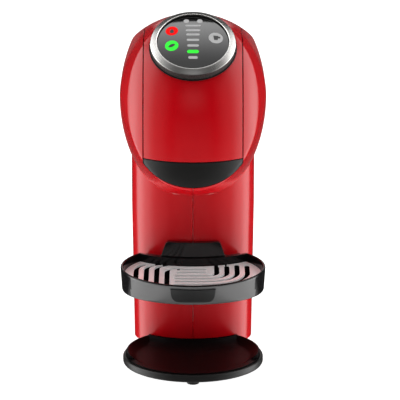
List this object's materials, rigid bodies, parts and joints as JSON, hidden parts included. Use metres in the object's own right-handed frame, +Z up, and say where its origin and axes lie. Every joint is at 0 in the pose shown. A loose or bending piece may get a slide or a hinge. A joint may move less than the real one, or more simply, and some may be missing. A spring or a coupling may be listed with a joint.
{
  "type": "pod coffee machine",
  "caption": "Slim pod coffee machine: round head with locking lever and dial over a sliding pod holder, drip tray, column, base and rear tank.",
  "frame": {"origin": "centre of the outer box in plan, on the surface that the feet stand on", "axes": "+Z up, +Y towards the water tank, +X to the right seen from the front"},
  "size_m": [0.112, 0.289, 0.2765],
  "materials": {
    "red_plastic": "smooth satin gloss",
    "black_gloss": "polished",
    "black_satin": "fine texture",
    "chrome": "satin plating",
    "steel": "polished",
    "smoked_clear": "clear, smoke tint",
    "rubber": "matt",
    "silicone": "satin",
    "aluminium": "cast",
    "circuit_board": "varnished",
    "coil_wrap": "taped",
    "magnet": "plain"
  },
  "bodies": {
    "body": {"casing_left": "red_plastic", "casing_right": "red_plastic", "rear_cover": "black_satin", "rear_screw_low_left": "steel", "rear_screw_low_right": "steel", "rear_screw_high_left": "steel", "rear_screw_high_right": "steel", "inner_deck": "black_satin", "chassis": "black_satin", "pod_guide": "black_satin", "pump": "steel", "pump_coil": "coil_wrap", "pump_mount_lower": "rubber", "pump_mount_upper": "rubber", "thermoblock": "aluminium", "heater_element": "steel", "thermostat": "black_satin", "thermal_fuse": "black_satin", "flow_meter": "black_satin", "inlet_hose": "silicone", "meter_hose": "silicone", "pump_hose": "silicone", "control_board": "circuit_board", "power_switch": "black_satin", "tray_rail": "steel", "hinge_pin_left": "steel", "hinge_pin_right": "steel", "base_pan": "black_satin", "base_plate": "black_gloss", "base_screw_1": "steel", "base_screw_2": "steel", "base_screw_3": "steel", "base_screw_4": "steel", "foot_front": "rubber", "foot_left": "rubber", "foot_right": "rubber", "foot_rear_left": "rubber", "foot_rear_right": "rubber", "cord_gland": "rubber", "tank_dock": "black_satin"},
    "lever": {"lever_cover": "red_plastic", "lever_liner": "black_satin", "display_housing": "black_satin", "display_board": "circuit_board", "display_glass": "black_gloss"},
    "selector": {"selector_ring": "chrome"},
    "injector": {"injector_head": "black_satin", "injector_needle": "steel", "injector_seal": "rubber", "injector_hose": "silicone"},
    "holder": {"pod_holder": "black_satin"},
    "tray": {"drip_tray": "black_gloss", "tray_bracket": "black_gloss", "tray_magnet": "magnet", "tray_badge": "black_satin"},
    "grid": {"drip_grid": "steel"},
    "tank": {"water_tank": "smoked_clear", "tank_valve": "black_satin"},
    "lid": {"tank_lid": "black_gloss"},
    "button": {"power_button": "black_gloss"}
  },
  "joints": [
    {"name": "lever_hinge", "type": "hinge", "parent": "body", "child": "lever", "pos_m": [0, -0.0045, 0.245], "axis": [-1, 0, 0], "range_deg": [0, 55]},
    {"name": "ring_turn", "type": "hinge", "parent": "lever", "child": "selector", "pos_m": [0, -0.0993, 0.2527], "axis": [0, -0.6018, 0.7986], "continuous": true},
    {"name": "injector_lift", "type": "slide", "parent": "body", "child": "injector", "axis": [0, 0, 1], "range_m": [0, 0.008]},
    {"name": "holder_slide", "type": "slide", "parent": "body", "child": "holder", "axis": [0, -1, 0], "range_m": [0, 0.078]},
    {"name": "tray_height", "type": "slide", "parent": "body", "child": "tray", "axis": [0, 0, 1], "range_m": [-0.046, 0]},
    {"name": "grid_lift", "type": "slide", "parent": "tray", "child": "grid", "axis": [0, 0, 1], "range_m": [0, 0.04]},
    {"name": "tank_lift", "type": "slide", "parent": "body", "child": "tank", "axis": [0, 0, 1], "range_m": [0, 0.12]},
    {"name": "tank_lid_lift", "type": "slide", "parent": "tank", "child": "lid", "axis": [0, 0, 1], "range_m": [0, 0.05]},
    {"name": "power_press", "type": "slide", "parent": "body", "child": "button", "axis": [-1, 0, 0], "range_m": [0, 0.0015], "stiffness_N_per_m": 600, "springref_m": -0.0005}
  ],
  "couplings": [
    {"joint": "injector_lift", "follows": "lever_hinge", "m_per_rad": 0.0083}
  ]
}
